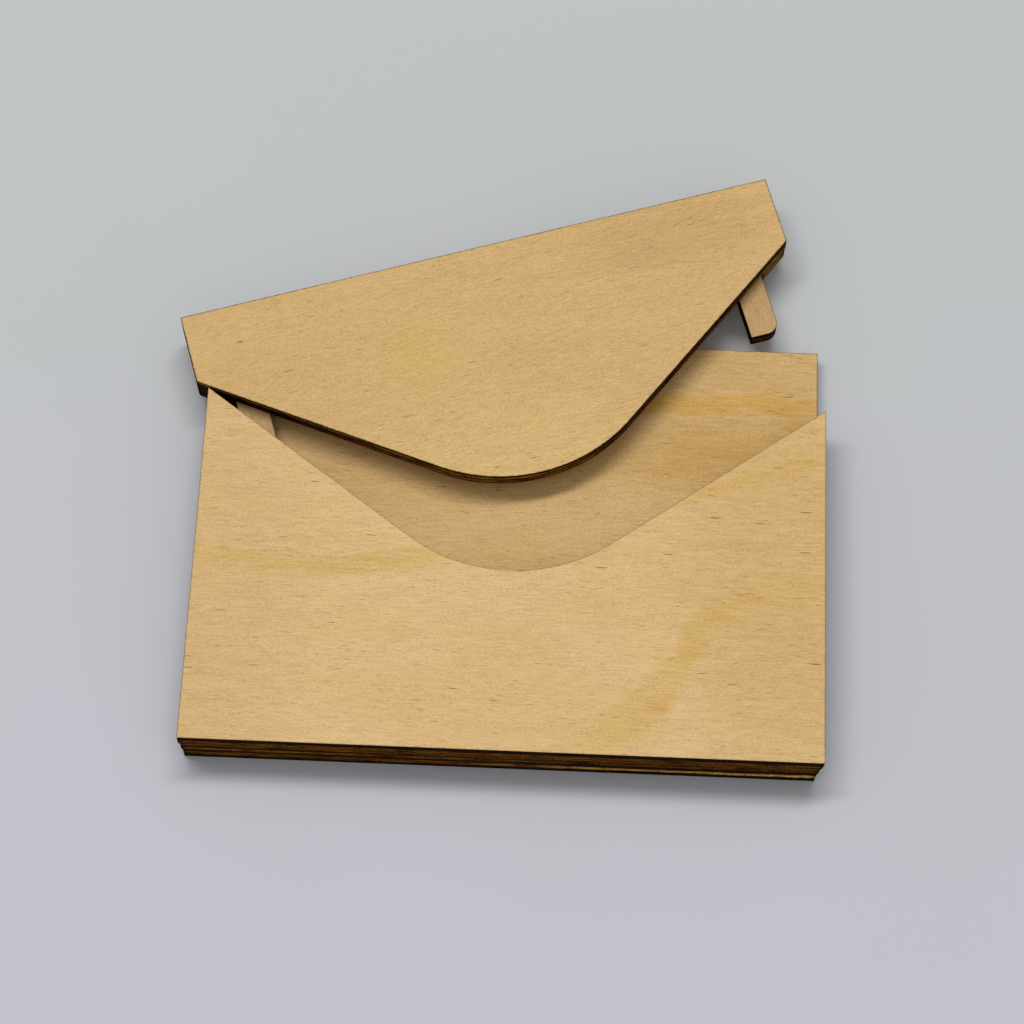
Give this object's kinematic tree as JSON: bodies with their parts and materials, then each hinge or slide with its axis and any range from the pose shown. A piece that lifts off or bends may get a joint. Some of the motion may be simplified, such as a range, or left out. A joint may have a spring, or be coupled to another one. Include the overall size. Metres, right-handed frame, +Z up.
{
  "type": "gift card holder",
  "caption": "Flat plywood envelope for a gift card: a three layer body with a notched pocket, and a loose pointed lid whose two tongues slide into it.",
  "frame": {"origin": "the middle of the closed envelope's outline, on the underside of the back panel that it lies on", "axes": "+X runs along the envelope's width, +Y from its bottom edge to the lid, and +Z up out of the front face"},
  "size_m": [0.1214, 0.1184, 0.009],
  "materials": {
    "birch_face_sheet": "unfinished sanded birch plywood with laser-charred edges",
    "birch_inner_sheet": "unfinished birch plywood with laser-charred edges",
    "birch_back_sheet": "unfinished birch plywood with laser-charred edges"
  },
  "bodies": {
    "body": {"back_panel": "birch_back_sheet", "pocket_frame": "birch_inner_sheet", "front_panel": "birch_face_sheet"},
    "lid": {"lid_tongue_plate": "birch_inner_sheet", "lid_front": "birch_face_sheet"}
  },
  "joints": [
    {"name": "lid_swing", "type": "hinge", "parent": "body", "child": "lid", "pos_m": [-0.0614, 0.0209, 0.006], "axis": [0, 0, 1], "range_deg": [-17.5, 21.5]}
  ]
}
